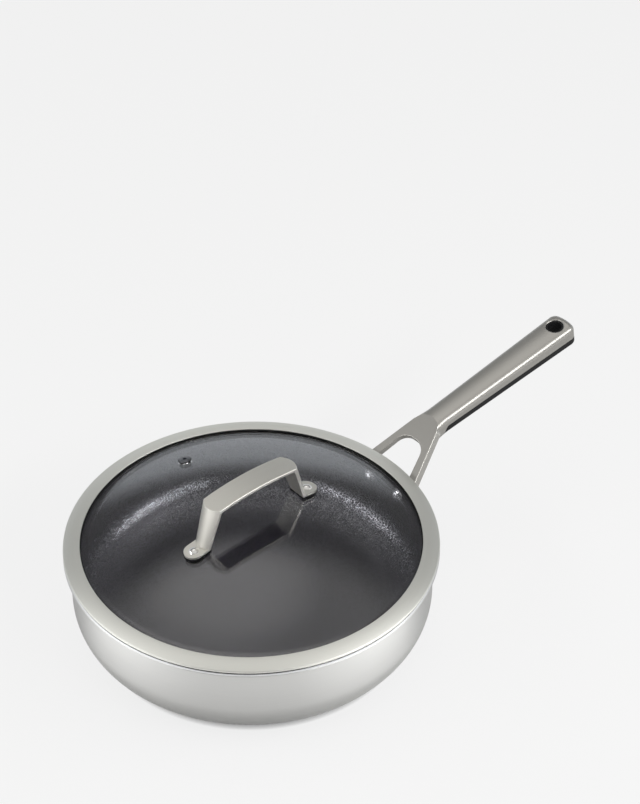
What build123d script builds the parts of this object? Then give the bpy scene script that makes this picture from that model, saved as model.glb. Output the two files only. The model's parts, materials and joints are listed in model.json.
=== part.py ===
from build123d import *
import os
from math import asin, atan2, cos, degrees, radians, sin, sqrt, tan

os.makedirs("parts", exist_ok=True)

# Lengths are in millimetres and angles in degrees. The origin is at the centre of the pan's base,
# +Z is up and the pan handle points along +X.

# Pan body: three bonded plies, measured on the outside
wall_radius = 133.0
base_corner_radius = 36.0
flare_start_height = 67.1
lip_flare_radius = 5.0
lip_flare_angle = 70.0
lip_land = 1.4
shell_thickness = 0.9
core_thickness = 1.4
liner_thickness = 0.7

# Rivets that hold the pan handle
rivet_spacing = 31.0
rivet_drop = 12.6
rivet_shank_radius = 2.9
rivet_head_radius = 5.6
rivet_head_height = 2.1
rivet_tail_radius = 4.8
rivet_tail_height = 1.8

# Foot of the pan handle, a curved plate on the wall
foot_thickness = 3.4
foot_width = 60.0
foot_above_rivets = 11.5
foot_below_rivets = 9.0
foot_corner_radius = 7.0

# Yoke of the pan handle, a flat Y that climbs away from the rim, with distances taken from the wall
yoke_slope = 34.0
yoke_reach = 27.0
yoke_rise = 16.7
yoke_thickness = 4.2
yoke_side_draft = 25.0
yoke_wall_depth = 7.0
yoke_wall_half_width = 30.2
yoke_neck_reach = 42.0
yoke_neck_half_width = 11.3
yoke_neck_radius = 5.0
window_reach = 28.6
window_end_half_width = 10.6
window_wall_half_width = 22.6
window_corner_radius = 11.0
yoke_edge_radius = 0.9

# Grip of the pan handle, a crowned bar with a hanging hole
grip_slope = 9.7
crease_reach = 46.7
hang_distance = 132.9
hang_hole_radius = 6.9
hang_edge_radius = 0.9
grip_tip = 12.6
grip_root_lap = 9.1
grip_waist_distance = 8.9
grip_waist_half_width = 10.4
grip_root_half_width = 12.6
grip_end_half_width = 12.4
grip_end_bow_radius = 65.0
grip_corner_radius = 6.5
grip_crown_radius = 40.0
grip_shoulder_radius = 4.6
grip_heel_radius = 3.2
grip_depth_front = 14.7
grip_depth_end = 18.3

# Black insert on the underside of the grip
parting_depth_front = 7.8
parting_depth_end = 11.2
insert_setback = 9.0
insert_ramp = 6.0
insert_ramp_radius = 4.0
channel_wall = 2.3
channel_roof_depth = 3.2
channel_setback = 2.0
channel_corner_radius = 3.0
insert_clearance = 0.2
collar_wall = 1.1
collar_drop = 1.3

# Lid band, a rolled steel rim that rests on the lip
lid_seat_gap = 0.3
band_overhang = 4.5
band_width = 12.4
band_crown_drop = 2.15
band_bend_radius = 1.1
band_thickness = 0.8
skirt_clearance = 0.7
skirt_depth = 6.0
ledge_width = 3.9

# Glass of the lid
seal_thickness = 0.5
seal_reveal = 0.9
glass_thickness = 4.0
dome_margin = 3.6
dome_rise = 20.0
dome_edge_radius = 14.0

# Lid handle: a flat top strip on two half-round legs
handle_rise = 35.4
strip_arch_radius = 225.0
strip_thickness = 2.4
strip_half_width = 9.7
leg_lean = 11.2
leg_foot_inset = 7.5
leg_foot_half_width = 7.3
leg_rim = 1.9
leg_top_bulge = 4.6
leg_foot_bulge = 3.6
leg_inner_radius = 3.0
strip_edge_radius = 0.7
tab_thickness = 1.9
screw_spacing = 106.2

# Lid fasteners, one set on each foot
pad_thickness = 1.3
pad_margin = 0.4
pad_sleeve_wall = 0.7
screw_shank_radius = 2.0
screw_hole_clearance = 0.15
screw_head_radius = 3.7
screw_head_height = 1.5
inner_seal_radius = 7.0
inner_seal_thickness = 1.3
washer_radius = 6.0
washer_thickness = 0.8
nut_across_flats = 7.0
nut_height = 3.2
nut_cap_radius = 3.1
nut_cap_height = 2.4
thread_engagement = 3.0

# Steam vent of the lid
vent_margin = 27.0
vent_bearing = 82.0
vent_hole_radius = 1.5
vent_tube_radius = 2.6
vent_flange_radius = 4.4
vent_flange_thickness = 0.9
vent_gasket_radius = 5.0
vent_gasket_thickness = 0.7
vent_washer_radius = 5.2
vent_washer_thickness = 0.8
vent_roll_radius = 3.4
vent_roll_height = 0.9
vent_fit_clearance = 0.1

# How far cutting tools run past the metal
overrun = 20.0

# Sizes that follow from the ones above
flat_radius = wall_radius - base_corner_radius
pan_thickness = shell_thickness + core_thickness + liner_thickness
inner_radius = wall_radius - pan_thickness
flare_sweep = lip_flare_radius + pan_thickness
lip_top_height = (flare_start_height + flare_sweep * sin(radians(lip_flare_angle))
                  + lip_land * cos(radians(lip_flare_angle)))
rivet_height = flare_start_height - rivet_drop
rivet_half_angle = degrees(asin(rivet_spacing / 2 / inner_radius))
rivet_head_seat = sqrt(inner_radius ** 2 - rivet_head_radius ** 2)
foot_outer_radius = wall_radius + foot_thickness
foot_bottom_height = rivet_height - foot_below_rivets
foot_top_height = rivet_height + foot_above_rivets


def ply_section(outer_depth, inner_depth):
    """Section of one ply between two depths below the pan's outer surface."""
    with BuildSketch(Plane.XZ) as section:
        with BuildLine():
            lip_ends = []
            for depth in (outer_depth, inner_depth):
                Line((0, depth), (flat_radius, depth))
                corner = CenterArc((flat_radius, base_corner_radius), base_corner_radius - depth, -90, 90)
                wall = Line(corner @ 1, (wall_radius - depth, flare_start_height))
                flare = CenterArc((wall_radius + lip_flare_radius, flare_start_height),
                                  lip_flare_radius + depth, 180, -lip_flare_angle)
                land = Line(flare @ 1, flare @ 1 + (flare % 1) * lip_land)
                lip_ends.append(land @ 1)
            Line(lip_ends[0], lip_ends[1])
            Line((0, outer_depth), (0, inner_depth))
        make_face()
    return section.sketch


def rivet_plane(side):
    """Plane whose X runs out along a rivet and whose Y is up."""
    bearing = radians(side * rivet_half_angle)
    return Plane(origin=(0, 0, rivet_height), x_dir=(cos(bearing), sin(bearing), 0),
                 z_dir=(sin(bearing), -cos(bearing), 0))


def rivet_shanks():
    """Both rivet shanks, long enough to pierce the wall and the foot."""
    with BuildPart() as shanks:
        for side in (1, -1):
            plane = rivet_plane(side)
            with BuildSketch(Plane(origin=plane.origin, z_dir=plane.x_dir)):
                Circle(rivet_shank_radius)
            extrude(amount=foot_outer_radius + overrun)
    return shanks.part


# Pan plies
ply_depths = {
    "outer_shell": (0, shell_thickness),
    "aluminium_core": (shell_thickness, shell_thickness + core_thickness),
    "coated_liner": (shell_thickness + core_thickness, pan_thickness),
}

with BuildPart() as outer_shell:
    revolve(ply_section(*ply_depths["outer_shell"]), axis=Axis.Z)
    add(rivet_shanks(), mode=Mode.SUBTRACT)
outer_shell.part.label = "outer_shell"
export_step(outer_shell.part, "parts/outer_shell.step")

with BuildPart() as aluminium_core:
    revolve(ply_section(*ply_depths["aluminium_core"]), axis=Axis.Z)
    add(rivet_shanks(), mode=Mode.SUBTRACT)
aluminium_core.part.label = "aluminium_core"
export_step(aluminium_core.part, "parts/aluminium_core.step")

with BuildPart() as coated_liner:
    revolve(ply_section(*ply_depths["coated_liner"]), axis=Axis.Z)
    add(rivet_shanks(), mode=Mode.SUBTRACT)
coated_liner.part.label = "coated_liner"
export_step(coated_liner.part, "parts/coated_liner.step")

# Handle rivets: coated domes inside the pan, upset tails on the handle's foot
with BuildPart() as handle_rivets:
    for side in (1, -1):
        plane = rivet_plane(side)
        with BuildSketch(plane):
            with BuildLine():
                head_top = (rivet_head_seat - rivet_head_height, 0)
                head = TangentArc(head_top, (rivet_head_seat, rivet_head_radius), tangent=(0, 1))
                tail_end = (foot_outer_radius + rivet_tail_height, 0)
                Polyline(head @ 1, (rivet_head_seat, rivet_shank_radius),
                         (foot_outer_radius, rivet_shank_radius), (foot_outer_radius, rivet_tail_radius))
                TangentArc(tail_end, (foot_outer_radius, rivet_tail_radius), tangent=(0, 1))
                Line(head @ 0, tail_end)
            make_face()
        revolve(axis=Axis(plane.origin, plane.x_dir))
handle_rivets.part.label = "handle_rivets"
export_step(handle_rivets.part, "parts/handle_rivets.step")

# Planes of the pan handle. X runs out along the handle on each, and its top is at the grip plane
# and the yoke plane.
yoke_height = flare_start_height + yoke_rise
crease_height = yoke_height + (crease_reach - yoke_reach) * tan(radians(yoke_slope))
hang_reach = wall_radius + crease_reach + hang_distance * cos(radians(grip_slope))
hang_height = crease_height + hang_distance * sin(radians(grip_slope))
yoke_plane = Plane(origin=(wall_radius + yoke_reach, 0, yoke_height),
                   x_dir=(cos(radians(yoke_slope)), 0, sin(radians(yoke_slope))),
                   z_dir=(-sin(radians(yoke_slope)), 0, cos(radians(yoke_slope))))
grip_plane = Plane(origin=(hang_reach, 0, hang_height),
                   x_dir=(cos(radians(grip_slope)), 0, sin(radians(grip_slope))),
                   z_dir=(-sin(radians(grip_slope)), 0, cos(radians(grip_slope))))
grip_side = Plane(origin=grip_plane.origin, x_dir=grip_plane.x_dir, z_dir=(0, -1, 0))
grip_section = Plane(origin=grip_plane.origin, x_dir=(0, 1, 0), z_dir=grip_plane.x_dir)
yoke_axis = Axis(yoke_plane.origin, yoke_plane.x_dir)
yoke_normal = Axis(yoke_plane.origin, yoke_plane.z_dir)
grip_axis = Axis(grip_plane.origin, grip_plane.x_dir)
grip_normal = Axis(grip_plane.origin, grip_plane.z_dir)
grip_root = hang_distance + grip_root_lap
grip_waist = hang_distance - grip_waist_distance
insert_start = grip_root - insert_setback
grip_span = grip_root + overrun
tip_bow = grip_end_bow_radius - sqrt(grip_end_bow_radius ** 2 - grip_end_half_width ** 2)
tip_shoulder = grip_tip - tip_bow


def yoke_x(reach):
    """Place along the yoke's own X of a distance from the wall."""
    return (reach - yoke_reach) / cos(radians(yoke_slope))


def underside_y(place):
    """Height of the grip's underside on its side plane, at a place along the grip."""
    return -grip_depth_end - (grip_depth_end - grip_depth_front) * place / grip_waist


def parting_y(place):
    """Height of the joint between metal and insert, at a place along the grip."""
    return -parting_depth_end - (parting_depth_end - parting_depth_front) * place / grip_waist


def grip_half_width(place):
    """Half width of the grip's straight sides, at a place along the grip."""
    share = (place + grip_waist) / (tip_shoulder + grip_waist)
    return grip_waist_half_width + (grip_end_half_width - grip_waist_half_width) * share


# Yoke with its window
with BuildPart() as yoke:
    with BuildSketch(yoke_plane) as yoke_outline:
        with BuildLine():
            Polyline((yoke_x(-yoke_wall_depth), yoke_wall_half_width),
                     (yoke_x(yoke_neck_reach), yoke_neck_half_width),
                     (yoke_x(yoke_neck_reach), -yoke_neck_half_width),
                     (yoke_x(-yoke_wall_depth), -yoke_wall_half_width), close=True)
        make_face()
        fillet(yoke_outline.vertices().group_by(Axis.X)[-1], yoke_neck_radius)
    extrude(amount=-yoke_thickness, taper=-yoke_side_draft)
    with BuildSketch(yoke_plane) as window:
        with BuildLine():
            Polyline((yoke_x(-yoke_wall_depth) - overrun, window_wall_half_width),
                     (yoke_x(-yoke_wall_depth), window_wall_half_width),
                     (yoke_x(window_reach), window_end_half_width),
                     (yoke_x(window_reach), -window_end_half_width),
                     (yoke_x(-yoke_wall_depth), -window_wall_half_width),
                     (yoke_x(-yoke_wall_depth) - overrun, -window_wall_half_width), close=True)
        make_face()
        fillet(window.vertices().group_by(Axis.X)[-1], window_corner_radius)
    extrude(amount=overrun, both=True, mode=Mode.SUBTRACT)
    yoke_top = yoke.faces().sort_by(yoke_normal)[-1]
    fillet(yoke_top.edges().sort_by(yoke_axis)[:-3], yoke_edge_radius)

# Outer form of the grip, before it is parted into metal and insert
with BuildPart() as grip_form:
    with BuildSketch(grip_plane) as grip_outline:
        with BuildLine():
            root_ends = []
            for side in (1, -1):
                edge = Line((tip_shoulder, side * grip_end_half_width),
                            (-grip_waist, side * grip_waist_half_width))
                flare = TangentArc(edge @ 1, (-grip_root, side * grip_root_half_width), tangent=edge % 1)
                root_ends.append(flare @ 1)
            Line(root_ends[0], root_ends[1])
            ThreePointArc((tip_shoulder, grip_end_half_width), (grip_tip, 0),
                          (tip_shoulder, -grip_end_half_width))
        make_face()
        fillet(grip_outline.vertices().group_by(Axis.X)[-1], grip_corner_radius)
    extrude(amount=overrun + grip_depth_end, both=True)
    # Flat underside that deepens towards the end
    with BuildSketch(grip_side):
        with BuildLine():
            Polyline((-grip_span, overrun), (-grip_span, underside_y(-grip_span)),
                     (overrun, underside_y(overrun)), (overrun, overrun), close=True)
        make_face()
    extrude(amount=grip_root_half_width + overrun, both=True, mode=Mode.INTERSECT)
    # Crowned top
    with BuildSketch(grip_section):
        with Locations((0, -grip_crown_radius)):
            Circle(grip_crown_radius)
    extrude(amount=grip_span, both=True, mode=Mode.INTERSECT)
    crown = grip_form.faces().sort_by(grip_normal)[-1]
    fillet(crown.edges().sort_by(grip_axis)[1:], grip_shoulder_radius)
    underside = grip_form.faces().sort_by(grip_normal)[0]
    fillet(underside.edges(), grip_heel_radius)


def insert_region():
    """Side view of the space that the insert takes, with a ramp at its front."""
    ramp_top = insert_ramp - insert_start
    ramp_foot = underside_y(-insert_start) - overrun
    with BuildSketch(grip_side) as region:
        with BuildLine():
            FilletPolyline((-insert_start - insert_ramp, ramp_foot),
                           (-insert_start, underside_y(-insert_start)),
                           (ramp_top, parting_y(ramp_top)), (overrun, parting_y(overrun)),
                           (overrun, ramp_foot), radius=insert_ramp_radius)
            Line((overrun, ramp_foot), (-insert_start - insert_ramp, ramp_foot))
        make_face()
    return region.sketch


def channel_sketch(depth, inset):
    """Plan of the channel inside the grip, at a depth under its top and an inset from its sides."""
    front = insert_ramp + channel_setback - insert_start + inset
    rear = tip_shoulder - inset
    with BuildSketch(grip_plane.offset(-depth)) as plan:
        with BuildLine():
            Polyline((front, grip_half_width(front) - inset), (rear, grip_half_width(rear) - inset),
                     (rear, inset - grip_half_width(rear)), (front, inset - grip_half_width(front)),
                     close=True)
        make_face()
        fillet(plan.vertices(), channel_corner_radius)
    return plan.sketch


# Foot of the handle: a rounded plate bent to the wall
with BuildPart() as handle_foot:
    with BuildSketch(Plane.YZ):
        with Locations((0, (foot_bottom_height + foot_top_height) / 2)):
            RectangleRounded(foot_width, foot_top_height - foot_bottom_height, foot_corner_radius)
    extrude(amount=foot_outer_radius)
    with BuildSketch(Plane.XY):
        Circle(foot_outer_radius)
    extrude(amount=foot_top_height, mode=Mode.INTERSECT)

# Handle casting: foot, yoke and the upper shell of the grip in one piece
with BuildPart() as handle_casting:
    add(grip_form.part)
    extrude(insert_region(), amount=grip_root_half_width + overrun, both=True, mode=Mode.SUBTRACT)
    extrude(channel_sketch(channel_roof_depth, channel_wall), amount=-overrun, mode=Mode.SUBTRACT)
    with BuildSketch(grip_plane):
        Circle(hang_hole_radius)
    extrude(amount=overrun, both=True, mode=Mode.SUBTRACT)
    grip_top = handle_casting.faces().sort_by(grip_normal)[-1]
    fillet(grip_top.inner_wires()[0].edges(), hang_edge_radius)
    # The yoke's flat top planes the grip's crown away at the neck
    with BuildSketch(yoke_plane):
        Rectangle(grip_span, foot_width)
    extrude(amount=grip_span / 2, mode=Mode.SUBTRACT)
    add(yoke.part)
    add(handle_foot.part)
    with BuildSketch(Plane.XY):
        Circle(wall_radius)
    extrude(amount=hang_height, mode=Mode.SUBTRACT)
    add(rivet_shanks(), mode=Mode.SUBTRACT)
handle_casting.part.label = "handle_casting"
export_step(handle_casting.part, "parts/handle_casting.step")

# Grip insert: the black underside, with a tongue in the channel and a collar in the hanging hole
with BuildPart() as handle_grip_insert:
    add(grip_form.part)
    extrude(insert_region(), amount=grip_root_half_width + overrun, both=True, mode=Mode.INTERSECT)
    tongue_depth = channel_roof_depth + insert_clearance
    extrude(channel_sketch(tongue_depth, channel_wall + insert_clearance),
            amount=tongue_depth - (parting_depth_end + grip_depth_front) / 2)
    with BuildSketch(grip_plane.offset(-collar_drop)):
        Circle(hang_hole_radius - insert_clearance)
    extrude(amount=collar_drop - parting_depth_end)
    with BuildSketch(grip_plane):
        Circle(hang_hole_radius - insert_clearance - collar_wall)
    extrude(amount=overrun + grip_depth_end, both=True, mode=Mode.SUBTRACT)
handle_grip_insert.part.label = "handle_grip_insert"
export_step(handle_grip_insert.part, "parts/handle_grip_insert.step")

# Lid levels, worked out from the lip upwards
band_outer_radius = wall_radius + band_overhang
band_inner_radius = band_outer_radius - band_width
skirt_radius = inner_radius - skirt_clearance
skirt_inner_radius = skirt_radius - band_thickness
band_bottom_height = lip_top_height + lid_seat_gap
bend_centre = (band_outer_radius - band_bend_radius, band_bottom_height + band_bend_radius)
band_run = bend_centre[0] - band_inner_radius
band_crown_radius = (band_run ** 2 + band_crown_drop ** 2) / (2 * band_crown_drop) + band_bend_radius
crown_centre_height = bend_centre[1] + band_crown_drop - (band_crown_radius - band_bend_radius)
crown_turn = degrees(atan2(bend_centre[1] - crown_centre_height, band_run))
seal_top_height = crown_centre_height + sqrt((band_crown_radius - band_thickness) ** 2
                                             - (skirt_inner_radius - band_inner_radius) ** 2)
glass_rim_height = seal_top_height - seal_thickness
glass_rim_underside = glass_rim_height - glass_thickness
ledge_height = glass_rim_underside - seal_thickness
glass_edge_radius = skirt_inner_radius - seal_thickness
seal_inner_radius = band_inner_radius - seal_reveal
dome_base_radius = band_inner_radius - dome_margin
dome_radius = (dome_base_radius ** 2 + dome_rise ** 2) / (2 * dome_rise)
dome_centre_height = glass_rim_height + dome_rise - dome_radius


def dome_plane(reach, bearing):
    """Plane on top of the glass and square to it, whose X runs outwards."""
    tilt = asin(reach / dome_radius)
    out_x = cos(radians(bearing))
    out_y = sin(radians(bearing))
    return Plane(origin=(reach * out_x, reach * out_y, dome_centre_height + dome_radius * cos(tilt)),
                 x_dir=(out_x * cos(tilt), out_y * cos(tilt), -sin(tilt)),
                 z_dir=(out_x * sin(tilt), out_y * sin(tilt), cos(tilt)))


def section_plane(plane):
    """Plane for the section of a turned piece: same X, with the given plane's Z as its Y."""
    return Plane(origin=plane.origin, x_dir=plane.x_dir, z_dir=-plane.y_dir)


def turned_ring(plane, inner, outer, top, thickness):
    """Flat ring on a plane's Z, from a height downwards."""
    with BuildPart() as ring:
        with BuildSketch(plane.offset(top - thickness)):
            Circle(outer)
            Circle(inner, mode=Mode.SUBTRACT)
        extrude(amount=thickness)
    return ring.part


leg_foot_reach = screw_spacing / 2 - leg_foot_inset
leg_top_reach = leg_foot_reach - leg_lean
foot_planes = [dome_plane(screw_spacing / 2, bearing) for bearing in (0, 180)]
foot_tilt = asin(screw_spacing / 2 / dome_radius)
leg_foot_height = (foot_planes[0].origin.Z + (pad_thickness + tab_thickness) * cos(foot_tilt)
                   + leg_foot_inset * sin(foot_tilt) - tab_thickness / 2)
strip_top_height = leg_foot_height + handle_rise
vent_plane = dome_plane(dome_base_radius - vent_margin, vent_bearing)
screw_hole_radius = screw_shank_radius + screw_hole_clearance
pad_sleeve_radius = screw_hole_radius + pad_sleeve_wall
vent_glass_radius = vent_tube_radius + vent_fit_clearance

# Lid band: rolled sheet with a crowned top, a skirt inside the mouth and a ledge under the glass
with BuildPart() as lid_rim_band:
    with BuildSketch(Plane.XZ):
        with BuildLine():
            starts = []
            ends = []
            for depth in (0, band_thickness):
                crown = CenterArc((band_inner_radius, crown_centre_height), band_crown_radius - depth,
                                  90, crown_turn - 90)
                bend = CenterArc(bend_centre, band_bend_radius - depth, crown_turn, -90 - crown_turn)
                starts.append(crown @ 0)
                ends.append(bend @ 1)
            Line(starts[0], starts[1])
            Polyline(ends[0], (skirt_radius, band_bottom_height),
                     (skirt_radius, lip_top_height - skirt_depth),
                     (skirt_inner_radius, lip_top_height - skirt_depth),
                     (skirt_inner_radius, ledge_height - band_thickness),
                     (skirt_inner_radius - ledge_width, ledge_height - band_thickness),
                     (skirt_inner_radius - ledge_width, ledge_height),
                     (skirt_inner_radius, ledge_height),
                     (skirt_inner_radius, band_bottom_height + band_thickness), ends[1])
        make_face()
    revolve(axis=Axis.Z)
lid_rim_band.part.label = "lid_rim_band"
export_step(lid_rim_band.part, "parts/lid_rim_band.step")

# Rim seal: a U-shaped black ring around the edge of the glass
with BuildPart() as rim_seal:
    with BuildSketch(Plane.XZ):
        with BuildLine():
            Polyline((seal_inner_radius, seal_top_height), (skirt_inner_radius, seal_top_height),
                     (skirt_inner_radius, ledge_height), (seal_inner_radius, ledge_height),
                     (seal_inner_radius, glass_rim_underside), (glass_edge_radius, glass_rim_underside),
                     (glass_edge_radius, glass_rim_height), (seal_inner_radius, glass_rim_height),
                     close=True)
        make_face()
    revolve(axis=Axis.Z)
rim_seal.part.label = "rim_seal"
export_step(rim_seal.part, "parts/rim_seal.step")

# Lid glass: a tempered dome with a flat rim and three holes
with BuildPart() as lid_glass:
    with BuildSketch(Plane.XZ) as glass_section:
        with BuildLine():
            dome_turn = degrees(asin(dome_base_radius / dome_radius))
            outside = CenterArc((0, dome_centre_height), dome_radius, 90 - dome_turn, dome_turn)
            inside_radius = dome_radius - glass_thickness
            inner_base = sqrt(inside_radius ** 2 - (glass_rim_underside - dome_centre_height) ** 2)
            inner_turn = degrees(asin(inner_base / inside_radius))
            inside = CenterArc((0, dome_centre_height), inside_radius, 90 - inner_turn, inner_turn)
            Polyline(outside @ 0, (glass_edge_radius, glass_rim_height),
                     (glass_edge_radius, glass_rim_underside), inside @ 0)
            Line(outside @ 1, inside @ 1)
        make_face()
        rim_corners = glass_section.vertices().sort_by_distance((dome_base_radius, glass_rim_height))
        fillet(rim_corners[0], dome_edge_radius)
        rim_corners = glass_section.vertices().sort_by_distance((inner_base, glass_rim_underside))
        fillet(rim_corners[0], dome_edge_radius + glass_thickness)
    revolve(axis=Axis.Z)
    for plane in foot_planes:
        with BuildSketch(plane):
            Circle(pad_sleeve_radius)
        extrude(amount=overrun, both=True, mode=Mode.SUBTRACT)
    with BuildSketch(vent_plane):
        Circle(vent_glass_radius)
    extrude(amount=overrun, both=True, mode=Mode.SUBTRACT)
lid_glass.part.label = "lid_glass"
export_step(lid_glass.part, "parts/lid_glass.step")


def tab_sketch(plane, margin):
    """Plan of a foot of the lid handle: round at its tip, square where the leg rises."""
    inner_end = (-leg_foot_inset - leg_rim) / cos(foot_tilt)
    with BuildSketch(plane) as plan:
        Circle(leg_foot_half_width + margin)
        with Locations((inner_end - margin, 0)):
            Rectangle(margin - inner_end, 2 * (leg_foot_half_width + margin),
                      align=(Align.MIN, Align.CENTER))
    return plan.sketch


# Opening under the lid handle, seen from the side
arch_centre_height = strip_top_height - strip_arch_radius
with BuildSketch(Plane.XZ) as handle_opening:
    with BuildLine():
        Polyline((leg_foot_reach - leg_rim, leg_foot_height - tab_thickness),
                 (leg_foot_reach - leg_rim, leg_foot_height), (leg_top_reach - leg_rim, strip_top_height),
                 (leg_rim - leg_top_reach, strip_top_height), (leg_rim - leg_foot_reach, leg_foot_height),
                 (leg_rim - leg_foot_reach, leg_foot_height - tab_thickness), close=True)
    make_face()
    with Locations((0, arch_centre_height)):
        Circle(strip_arch_radius - strip_thickness, mode=Mode.INTERSECT)
    fillet(handle_opening.vertices().group_by(Axis.Y)[-1], leg_inner_radius)

# Rounded outsides of the two legs
with BuildPart() as leg_rounds:
    for side in (1, -1):
        for height, reach, half_width, bulge in (
                (leg_foot_height, leg_foot_reach, leg_foot_half_width, leg_foot_bulge),
                (strip_top_height, leg_top_reach, strip_half_width, leg_top_bulge)):
            with BuildSketch(Plane.XY.offset(height)):
                with BuildLine():
                    rim = Polyline((side * reach, half_width), (side * (reach - leg_rim / 2), half_width),
                                   (side * (reach - leg_rim / 2), -half_width), (side * reach, -half_width))
                    ThreePointArc(rim @ 0, (side * (reach + bulge), 0), rim @ 1)
                make_face()
        loft()
    with BuildSketch(Plane.XZ):
        with Locations((0, arch_centre_height)):
            Circle(strip_arch_radius)
    extrude(amount=strip_half_width, both=True, mode=Mode.INTERSECT)

# Lid handle: arched flat strip, two half-round legs and two tabs
with BuildPart() as lid_handle:
    with BuildSketch(Plane.XZ):
        with BuildLine():
            Polyline((-leg_foot_reach, leg_foot_height), (-leg_top_reach, strip_top_height),
                     (leg_top_reach, strip_top_height), (leg_foot_reach, leg_foot_height), close=True)
        make_face()
        with Locations((0, arch_centre_height)):
            Circle(strip_arch_radius, mode=Mode.INTERSECT)
    extrude(amount=strip_half_width, both=True)
    extrude(handle_opening.sketch, amount=strip_half_width, both=True, mode=Mode.SUBTRACT)
    # Both sides lean in towards the feet
    with BuildSketch(Plane.YZ):
        with BuildLine():
            Polyline((-leg_foot_half_width, leg_foot_height), (-strip_half_width, strip_top_height),
                     (strip_half_width, strip_top_height), (leg_foot_half_width, leg_foot_height),
                     close=True)
        make_face()
    extrude(amount=leg_foot_reach, both=True, mode=Mode.INTERSECT)
    add(leg_rounds.part)
    strip_top = lid_handle.faces().sort_by(Axis.Z)[-1]
    fillet(strip_top.edges(), strip_edge_radius)
    for plane in foot_planes:
        extrude(tab_sketch(plane.offset(pad_thickness), 0), amount=tab_thickness)
        with BuildSketch(plane):
            Circle(screw_hole_radius)
        extrude(amount=overrun, both=True, mode=Mode.SUBTRACT)
lid_handle.part.label = "lid_handle"
export_step(lid_handle.part, "parts/lid_handle.step")

# Foot pads: black, under each tab, with a sleeve through the glass
with BuildPart() as foot_pads:
    for plane in foot_planes:
        extrude(tab_sketch(plane, pad_margin), amount=pad_thickness)
        with BuildSketch(plane):
            Circle(pad_sleeve_radius)
        extrude(amount=-glass_thickness)
        with BuildSketch(plane):
            Circle(screw_hole_radius)
        extrude(amount=overrun, both=True, mode=Mode.SUBTRACT)
foot_pads.part.label = "foot_pads"
export_step(foot_pads.part, "parts/foot_pads.step")

# Stack of rings under the glass at each foot, measured down from its top
inner_seal_top = -glass_thickness - inner_seal_radius ** 2 / (2 * (dome_radius - glass_thickness))
washer_top = inner_seal_top - inner_seal_thickness
nut_top = washer_top - washer_thickness

with BuildPart() as inner_seal_washers:
    for plane in foot_planes:
        add(turned_ring(plane, screw_hole_radius, inner_seal_radius, inner_seal_top, inner_seal_thickness))
inner_seal_washers.part.label = "inner_seal_washers"
export_step(inner_seal_washers.part, "parts/inner_seal_washers.step")

with BuildPart() as steel_washers:
    for plane in foot_planes:
        add(turned_ring(plane, screw_hole_radius, washer_radius, washer_top, washer_thickness))
steel_washers.part.label = "steel_washers"
export_step(steel_washers.part, "parts/steel_washers.step")

# Handle screws with plain domed heads
with BuildPart() as lid_handle_screws:
    head_seat = pad_thickness + tab_thickness
    for plane in foot_planes:
        with BuildSketch(section_plane(plane)):
            with BuildLine():
                dome = TangentArc((0, head_seat + screw_head_height), (screw_head_radius, head_seat),
                                  tangent=(1, 0))
                Polyline(dome @ 1, (screw_shank_radius, head_seat),
                         (screw_shank_radius, nut_top - thread_engagement),
                         (0, nut_top - thread_engagement), dome @ 0)
            make_face()
        revolve(axis=Axis(plane.origin, plane.z_dir))
lid_handle_screws.part.label = "lid_handle_screws"
export_step(lid_handle_screws.part, "parts/lid_handle_screws.step")

# Cap nuts inside the lid
with BuildPart() as cap_nuts:
    for plane in foot_planes:
        with BuildSketch(plane.offset(nut_top)):
            RegularPolygon(nut_across_flats / 2, 6, major_radius=False)
        extrude(amount=-nut_height)
        with BuildSketch(section_plane(plane)):
            with BuildLine():
                cap_base = nut_top - nut_height
                cap = TangentArc((0, cap_base - nut_cap_height), (nut_cap_radius, cap_base), tangent=(1, 0))
                Polyline(cap @ 1, (0, cap_base), cap @ 0)
            make_face()
        revolve(axis=Axis(plane.origin, plane.z_dir))
        with BuildSketch(plane.offset(nut_top)):
            Circle(screw_shank_radius)
        extrude(amount=-thread_engagement, mode=Mode.SUBTRACT)
cap_nuts.part.label = "cap_nuts"
export_step(cap_nuts.part, "parts/cap_nuts.step")

# Steam vent: a rolled steel eyelet on a black gasket, with a steel washer inside the lid
vent_washer_top = -glass_thickness - vent_washer_radius ** 2 / (2 * (dome_radius - glass_thickness))
vent_tail = vent_washer_top - vent_washer_thickness

with BuildPart() as vent_gasket:
    add(turned_ring(vent_plane, vent_glass_radius, vent_gasket_radius, vent_gasket_thickness,
                    vent_gasket_thickness))
vent_gasket.part.label = "vent_gasket"
export_step(vent_gasket.part, "parts/vent_gasket.step")

with BuildPart() as vent_washer:
    add(turned_ring(vent_plane, vent_glass_radius, vent_washer_radius, vent_washer_top,
                    vent_washer_thickness))
vent_washer.part.label = "vent_washer"
export_step(vent_washer.part, "parts/vent_washer.step")

with BuildPart() as vent_eyelet:
    with BuildSketch(section_plane(vent_plane)):
        with BuildLine():
            flange_top = vent_gasket_thickness + vent_flange_thickness
            Polyline((vent_hole_radius, flange_top), (vent_tube_radius, flange_top))
            TangentArc((vent_tube_radius, flange_top), (vent_flange_radius, vent_gasket_thickness),
                       tangent=(1, 0))
            Polyline((vent_flange_radius, vent_gasket_thickness), (vent_tube_radius, vent_gasket_thickness),
                     (vent_tube_radius, vent_tail), (vent_roll_radius, vent_tail))
            TangentArc((vent_tube_radius, vent_tail - vent_roll_height), (vent_roll_radius, vent_tail),
                       tangent=(1, 0))
            Polyline((vent_tube_radius, vent_tail - vent_roll_height),
                     (vent_hole_radius, vent_tail - vent_roll_height), (vent_hole_radius, flange_top))
        make_face()
    revolve(axis=Axis(vent_plane.origin, vent_plane.z_dir))
vent_eyelet.part.label = "vent_eyelet"
export_step(vent_eyelet.part, "parts/vent_eyelet.step")
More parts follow.
